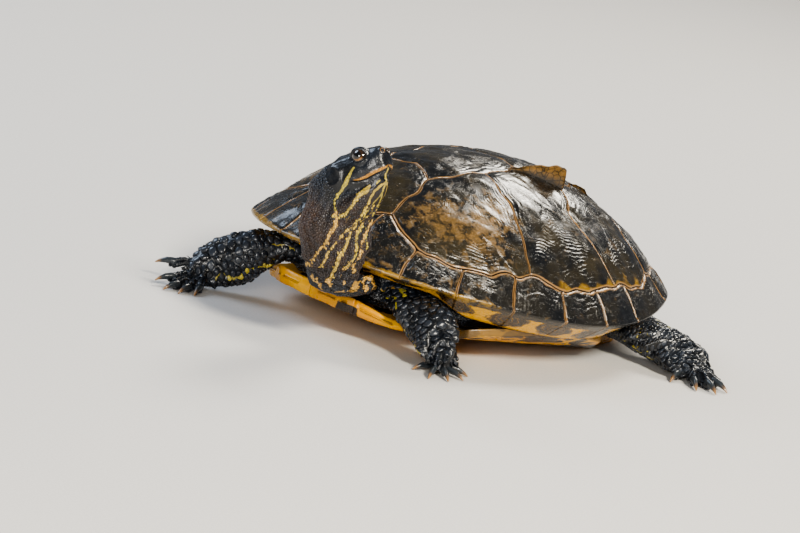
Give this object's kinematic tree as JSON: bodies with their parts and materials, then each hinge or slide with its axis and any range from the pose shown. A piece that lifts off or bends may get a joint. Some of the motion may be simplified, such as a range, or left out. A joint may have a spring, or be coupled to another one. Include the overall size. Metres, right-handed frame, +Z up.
{
  "type": "freshwater slider turtle model",
  "caption": "Life-size still model of an adult slider turtle, lying on its plastron with the head raised and turned to its left and all legs spread.",
  "frame": {"origin": "middle of the model's box, at the level that the plastron and the feet rest on", "axes": "+X to the animal's left, +Y to its tail, +Z up; it faces -Y"},
  "size_m": [0.251, 0.294, 0.1059],
  "materials": {
    "carapace_horn": "wet, near-black olive horn with tan growth lines and tan seams",
    "marginal_horn": "wet dark horn above, yellow-orange with brown blotches below",
    "plastron_horn": "polished golden-yellow horn with dark seams and smudges",
    "skin": "fine-grained dark skin with cream-yellow stripes",
    "scaled_skin": "glossy blue-black scales with narrow yellow stripes",
    "eye": "wet, clear and dark, with an amber iris",
    "claw_horn": "smooth dark horn with amber tips"
  },
  "bodies": {
    "root": {"nuchal": "carapace_horn", "vertebral_1": "carapace_horn", "vertebral_2": "carapace_horn", "vertebral_3": "carapace_horn", "vertebral_4": "carapace_horn", "vertebral_5": "carapace_horn", "costal_left_1": "carapace_horn", "costal_left_2": "carapace_horn", "costal_left_3": "carapace_horn", "costal_left_4": "carapace_horn", "marginal_left_1": "marginal_horn", "marginal_left_2": "marginal_horn", "marginal_left_3": "marginal_horn", "marginal_left_4": "marginal_horn", "marginal_left_5": "marginal_horn", "marginal_left_6": "marginal_horn", "marginal_left_7": "marginal_horn", "marginal_left_8": "marginal_horn", "marginal_left_9": "marginal_horn", "marginal_left_10": "marginal_horn", "marginal_left_11": "marginal_horn", "marginal_left_12": "marginal_horn", "gular_left": "plastron_horn", "humeral_left": "plastron_horn", "pectoral_left": "plastron_horn", "abdominal_left": "plastron_horn", "femoral_left": "plastron_horn", "anal_left": "plastron_horn", "costal_right_1": "carapace_horn", "costal_right_2": "carapace_horn", "costal_right_3": "carapace_horn", "costal_right_4": "carapace_horn", "marginal_right_1": "marginal_horn", "marginal_right_2": "marginal_horn", "marginal_right_3": "marginal_horn", "marginal_right_4": "marginal_horn", "marginal_right_5": "marginal_horn", "marginal_right_6": "marginal_horn", "marginal_right_7": "marginal_horn", "marginal_right_8": "marginal_horn", "marginal_right_9": "marginal_horn", "marginal_right_10": "marginal_horn", "marginal_right_11": "marginal_horn", "marginal_right_12": "marginal_horn", "gular_right": "plastron_horn", "humeral_right": "plastron_horn", "pectoral_right": "plastron_horn", "abdominal_right": "plastron_horn", "femoral_right": "plastron_horn", "anal_right": "plastron_horn", "trunk": "skin", "tail": "skin", "leg_front_left": "scaled_skin", "leg_front_right": "scaled_skin", "leg_hind_left": "scaled_skin", "leg_hind_right": "scaled_skin", "head": "skin", "neck": "skin", "eye_left": "eye", "eye_right": "eye"}
  },
  "joints": []
}
